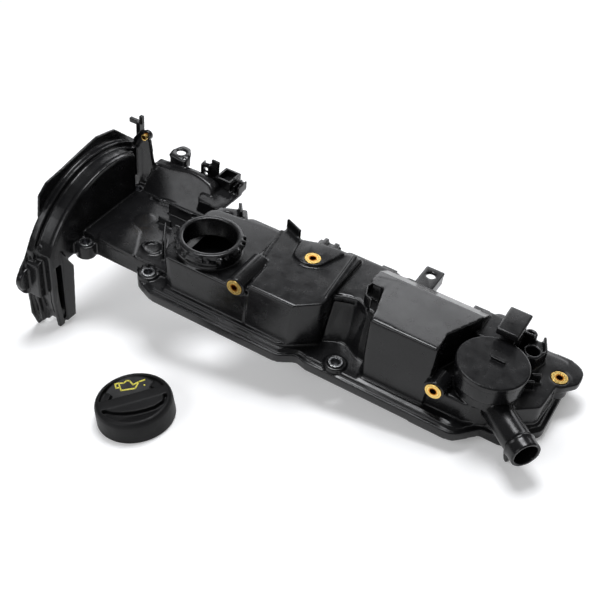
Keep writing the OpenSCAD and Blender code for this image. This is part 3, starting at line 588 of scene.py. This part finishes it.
def add_box_details(shape):
    """Curled lip of the notch in the separator box, and the line along its left shoulder."""
    known = set(shape.verts)
    for rib in BOX_RIBS:
        add_rib(shape, *rib)
    slanted(shape, known, BOX_TOP_HEIGHT)


def add_clip_cluster(shape):
    """Slotted plate, tab and fins round the plug holder at the end of the apron."""
    for low, high in CLIP_UPRIGHTS:
        add_box(shape, low, high)
    for level in CLIP_RUNG_LEVELS:
        low, high = CLIP_RUNG_PLAN
        add_box(shape, (*low, level), (*high, level + CLIP_RUNG_HEIGHT))
    add_box(shape, *CLIP_TAB)
    add_plate(shape, CLIP_SHELF, *CLIP_SHELF_LEVELS)
    for x in CLIP_FIN_PLACES:
        low, high = CLIP_FIN_SIDE
        add_box(shape, (x, *low), (x + CLIP_FIN_WIDTH, *high))
    add_box(shape, *CLIP_BAR)


def add_bracket_details(shape):
    """Skirts under the holed bracket at the timing end."""
    for low, high in BRACKET_SKIRTS:
        add_box(shape, low, high)


def add_breather_details(shape):
    """Ribs and fins of the housing behind the breather disc."""
    for rib in BREATHER_RIBS:
        add_rib(shape, *rib)
    for x, y in BREATHER_FINS:
        low = (x + FIN_LOW[0], y + FIN_LOW[1], FIN_LOW[2])
        high = (x + FIN_HIGH[0], y + FIN_HIGH[1], FIN_HIGH[2])
        add_box(shape, low, high, FIN_TURN)


class VALVECOVER_OT_moulding(bpy.types.Operator):
    """Finishes the moulding and the plastic pieces fixed to it."""

    bl_idname = "valve_cover.moulding"
    bl_label = "Moulding"

    def execute(self, context):
        colours = context.scene.valve_cover_colours
        nylon = moulded_nylon(tuple(colours.nylon))
        dress(("breather_cap", "breather_valve", "rear_clip", "post_clip"), nylon)
        # The separator baffle deep under the neck gets the nylon at half its colour as painted shade, and a
        # rougher, duller finish
        shaded_baffle = moulded_nylon(
            scaled(colours.nylon, 0.5), "painted_shade_nylon", rough=(0.55, 0.7), gloss_level=0.12)
        dress(("separator_baffle",), shaded_baffle)
        shape = solid_of("cover_moulding")
        add_neck_details(shape)
        add_deck_details(shape)
        add_box_details(shape)
        add_clip_cluster(shape)
        add_bracket_details(shape)
        add_breather_details(shape)
        skin = moulded_skin("moulded_cover", shape, nylon, soft_zones=SOFT_ZONES)
        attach(skin, "cover")
        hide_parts("cover_moulding")
        return {"FINISHED"}


class VALVECOVER_OT_metal(bpy.types.Operator):
    """Finishes the bolt sleeves, the threaded inserts and the spring, and gives the spring a mesh of its
    own.
    """

    bl_idname = "valve_cover.metal"
    bl_label = "Metal parts"

    def execute(self, context):
        colours = context.scene.valve_cover_colours
        spring_steel = worked_metal("spring_steel", tuple(colours.steel), rough=(0.22, 0.36), rounded=0.0)
        dress(("breather_spring",), spring_steel)
        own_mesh(bpy.data.objects["breather_spring"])
        for name in SLEEVES:
            bands = round_bands(name, SLEEVE_BORE_SHADE)
            steel = worked_metal(f"{name}_steel", tuple(colours.steel), (0.18, 0.32), 0.3 * MM, bands)
            dress((name,), steel)
        for name in INSERTS:
            bands = round_bands(name, INSERT_BANDS)
            brass = worked_metal(f"{name}_brass", tuple(colours.brass), (0.20, 0.34), 0.3 * MM, bands)
            dress((name,), brass)
        return {"FINISHED"}


class VALVECOVER_OT_seals(bpy.types.Operator):
    """Finishes the gasket, the diaphragm and the cap's seal."""

    bl_idname = "valve_cover.seals"
    bl_label = "Seals"

    def execute(self, context):
        colours = context.scene.valve_cover_colours
        rubber = seal_rubber(tuple(colours.rubber))
        dress(("perimeter_gasket", "breather_diaphragm", "oil_cap_seal"), rubber)
        return {"FINISHED"}


def cap_place():
    """Puts the cap's own axes, with Z along its centre line, where the cap stands on the floor."""
    slope = bpy.context.scene.valve_cover_stage.slope
    return Matrix.Translation(Vector(CAP_FOOT) * MM) @ Matrix.Rotation(-slope, 4, "Y")


def add_cap_grip(shape):
    """Swells the cap's grip bar, raises the scoop in front of it and lays crescents behind it."""
    add_plate(shape, GRIP_FRONT + GRIP_BACK, GRIP_FOOT, GRIP_TOP)
    scoop = arc_points((0.0, 0.0), SCOOP_REACH, CAP_TURN - 180.0, CAP_TURN)
    add_plate(shape, scoop, GRIP_FOOT, SCOOP_FLOOR)
    for start in CRESCENT_STARTS:
        add_sector(
            shape, (0.0, 0.0), *CRESCENT_RADII, start, start + CRESCENT_ARC, GRIP_FOOT, CRESCENT_TOP)


def oil_mark_shape(skin):
    """Oil-can sign: thin strokes laid on the cap's skin behind the grip bar."""
    cover = BVHTree.FromPolygons(
        [vert.co for vert in skin.data.vertices], [tuple(face.vertices) for face in skin.data.polygons])
    place = cap_place()
    axis = place.to_3x3() @ Vector((0.0, 0.0, 1.0))
    shape = bmesh.new()
    for stroke in OIL_MARK:
        for start, end in zip(stroke, stroke[1:]):
            add_mark_stroke(shape, Vector(start), Vector(end))
    add_post(shape, OIL_DRIP, DRIP_RADIUS, 0.0, STROKE_HEIGHT, sides=DRIP_SIDES)
    for vert in shape.verts:
        lift = MARK_LIFT if vert.co.z > STROKE_HEIGHT * MM / 2 else -MARK_LIFT
        start = place @ Vector((vert.co.x, vert.co.y, RAY_START * MM))
        hit = cover.ray_cast(start, -axis)[0]
        if hit is None:
            raise RuntimeError("the oil mark misses the cap")
        vert.co = hit + axis * lift
    return shape


def add_mark_stroke(shape, start, end):
    """Adds one stroke as a bar cut into short steps, so that it can follow a curved face."""
    along = (end - start).normalized()
    side = Vector((-along.y, along.x)) * (MARK_WIDTH / 2)
    steps = max(1, round((end - start).length / MARK_STEP))
    first_point = start - along * MARK_OVERRUN
    whole = end - start + along * MARK_OVERRUN * 2
    run = [first_point + whole * i / steps for i in range(steps + 1)]
    rows = []
    for point in run:
        left, right = point + side, point - side
        section = ((left, 0.0), (right, 0.0), (right, STROKE_HEIGHT), (left, STROKE_HEIGHT))
        rows.append([shape.verts.new(Vector((*corner, height)) * MM) for corner, height in section])
    loops = []
    for row in rows:
        loops.append([shape.edges.new((row[i], row[(i + 1) % 4])) for i in range(4)])
    for first, second in zip(loops, loops[1:]):
        bmesh.ops.bridge_loops(shape, edges=first + second)
    shape.faces.new(rows[0])
    shape.faces.new(rows[-1])
    bmesh.ops.recalc_face_normals(shape, faces=shape.faces)


class VALVECOVER_OT_cap(bpy.types.Operator):
    """Finishes the oil cap."""

    bl_idname = "valve_cover.cap"
    bl_label = "Oil cap"

    def execute(self, context):
        colours = context.scene.valve_cover_colours
        plastic = cap_plastic(tuple(colours.cap))
        dress(("oil_cap_lock_ring",), plastic)
        shape = solid_of("oil_cap_shell")
        known = set(shape.verts)
        add_cap_grip(shape)
        bmesh.ops.transform(shape, matrix=cap_place(), verts=list(set(shape.verts) - known))
        skin = moulded_skin("moulded_oil_cap", shape, plastic, CAP_VOXEL, CAP_RELAX_ROUNDS)
        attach(skin, "cover")
        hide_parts("oil_cap_shell")
        mark = new_piece("oil_mark", oil_mark_shape(skin), printed_mark(tuple(colours.mark)))
        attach(mark, "cover")
        return {"FINISHED"}


# Stage


def camera_turn():
    """The camera's axes from its heading, tilt and roll."""
    a, e, r = CAMERA_HEADING, CAMERA_TILT, CAMERA_ROLL
    back = Vector((math.sin(a) * math.cos(e), -math.cos(a) * math.cos(e), math.sin(e)))
    right = Vector((math.cos(a), math.sin(a), 0.0))
    up = back.cross(right)
    x_axis = right * math.cos(r) + up * math.sin(r)
    y_axis = up * math.cos(r) - right * math.sin(r)
    return Matrix((x_axis, y_axis, back)).transposed()


def floor_paint(glow_strength):
    """White sweep: it shows white to the camera and in reflections, and still takes the shadow."""
    material, tree, shader = new_material("studio_floor")
    shader.inputs["Base Color"].default_value = (FLOOR_GREY, FLOOR_GREY, FLOOR_GREY, 1.0)
    shader.inputs["Roughness"].default_value = 0.9
    shader.inputs["Specular IOR Level"].default_value = 0.1
    path = tree.nodes.new("ShaderNodeLightPath")
    seen = path.outputs["Is Camera Ray"]
    for ray in ("Is Glossy Ray", "Is Transmission Ray"):
        either = tree.nodes.new("ShaderNodeMath")
        either.operation = "MAXIMUM"
        tree.links.new(seen, either.inputs[0])
        tree.links.new(path.outputs[ray], either.inputs[1])
        seen = either.outputs[0]
    glow = tree.nodes.new("ShaderNodeEmission")
    strength = tree.nodes.new("ShaderNodeMath")
    strength.operation = "MULTIPLY"
    strength.inputs[1].default_value = glow_strength
    tree.links.new(seen, strength.inputs[0])
    tree.links.new(strength.outputs[0], glow.inputs["Strength"])
    both = tree.nodes.new("ShaderNodeAddShader")
    output = tree.nodes["Material Output"]
    tree.links.new(shader.outputs[0], both.inputs[0])
    tree.links.new(glow.outputs[0], both.inputs[1])
    tree.links.new(both.outputs[0], output.inputs[0])
    return material


def soft_panel(name, place, size, brightness):
    """A rectangular lamp that looks at the cover and shows in reflections at the given brightness."""
    lamp = bpy.data.lights.new(name, "AREA")
    lamp.shape = "RECTANGLE"
    lamp.size, lamp.size_y = size
    lamp.energy = brightness * math.pi * size[0] * size[1]
    lamp.color = COOL_WHITE
    holder = bpy.data.objects.new(name, lamp)
    holder.location = place
    holder.rotation_euler = (STUDIO_CENTRE - Vector(place)).to_track_quat("-Z", "Y").to_euler()
    bpy.context.collection.objects.link(holder)


class VALVECOVER_OT_stage(bpy.types.Operator):
    """Makes the floor, the lamps, the world and the camera."""

    bl_idname = "valve_cover.stage"
    bl_label = "Studio"

    def execute(self, context):
        scene = context.scene
        settings = scene.valve_cover_stage
        shape = bmesh.new()
        bmesh.ops.create_grid(shape, x_segments=1, y_segments=1, size=FLOOR_HALF)
        lean = Matrix.Translation(FLOOR_PIVOT) @ Matrix.Rotation(-settings.slope, 4, "Y")
        bmesh.ops.transform(shape, matrix=lean, verts=shape.verts)
        mesh = bpy.data.meshes.new("studio_floor")
        shape.to_mesh(mesh)
        shape.free()
        floor = bpy.data.objects.new("studio_floor", mesh)
        floor.data.materials.append(floor_paint(settings.glow))
        context.collection.objects.link(floor)

        for name, place, size, setting in STUDIO_LAMPS:
            soft_panel(name, place, size, getattr(settings, setting))

        world = bpy.data.worlds.new("studio")
        world.use_nodes = True
        tree = world.node_tree
        tree.nodes.clear()
        output = tree.nodes.new("ShaderNodeOutputWorld")
        sky = tree.nodes.new("ShaderNodeBackground")
        sky.inputs["Color"].default_value = (1.0, 1.0, 1.0, 1.0)
        sky.inputs["Strength"].default_value = settings.sky
        tree.links.new(sky.outputs[0], output.inputs[0])
        scene.world = world

        camera = bpy.data.cameras.new("photo_view")
        camera.lens = settings.lens
        camera.sensor_width = SENSOR_WIDTH
        camera.clip_end = VIEW_END
        holder = bpy.data.objects.new("photo_view", camera)
        holder.matrix_world = Matrix.Translation(CAMERA_PLACE) @ camera_turn().to_4x4()
        context.collection.objects.link(holder)
        scene.camera = holder
        scene.view_settings.view_transform = "Standard"
        return {"FINISHED"}


class VALVECOVER_PT_panel(bpy.types.Panel):
    """Lists the steps and their settings."""

    bl_label = "Valve cover"
    bl_idname = "VALVECOVER_PT_panel"
    bl_space_type = "VIEW_3D"
    bl_region_type = "UI"
    bl_category = "Valve cover"

    def draw(self, context):
        layout = self.layout
        for settings in (context.scene.valve_cover_colours, context.scene.valve_cover_stage):
            for name in settings.bl_rna.properties.keys():
                if name not in ("rna_type", "name"):
                    layout.prop(settings, name)
        for operator in OPERATORS:
            layout.operator(operator.bl_idname)


OPERATORS = (
    VALVECOVER_OT_stage, VALVECOVER_OT_moulding, VALVECOVER_OT_metal, VALVECOVER_OT_seals,
    VALVECOVER_OT_cap,
)
GROUPS = (ValveCoverColours, ValveCoverStage)


def register():
    for item in GROUPS + OPERATORS + (VALVECOVER_PT_panel,):
        bpy.utils.register_class(item)
    bpy.types.Scene.valve_cover_colours = bpy.props.PointerProperty(type=ValveCoverColours)
    bpy.types.Scene.valve_cover_stage = bpy.props.PointerProperty(type=ValveCoverStage)


def unregister():
    del bpy.types.Scene.valve_cover_stage
    del bpy.types.Scene.valve_cover_colours
    for item in reversed(GROUPS + OPERATORS + (VALVECOVER_PT_panel,)):
        bpy.utils.unregister_class(item)


def main():
    register()
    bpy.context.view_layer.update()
    bpy.ops.valve_cover.stage()
    bpy.ops.valve_cover.moulding()
    bpy.ops.valve_cover.metal()
    bpy.ops.valve_cover.seals()
    bpy.ops.valve_cover.cap()
    bpy.context.view_layer.update()


if __name__ == "__main__":
    main()
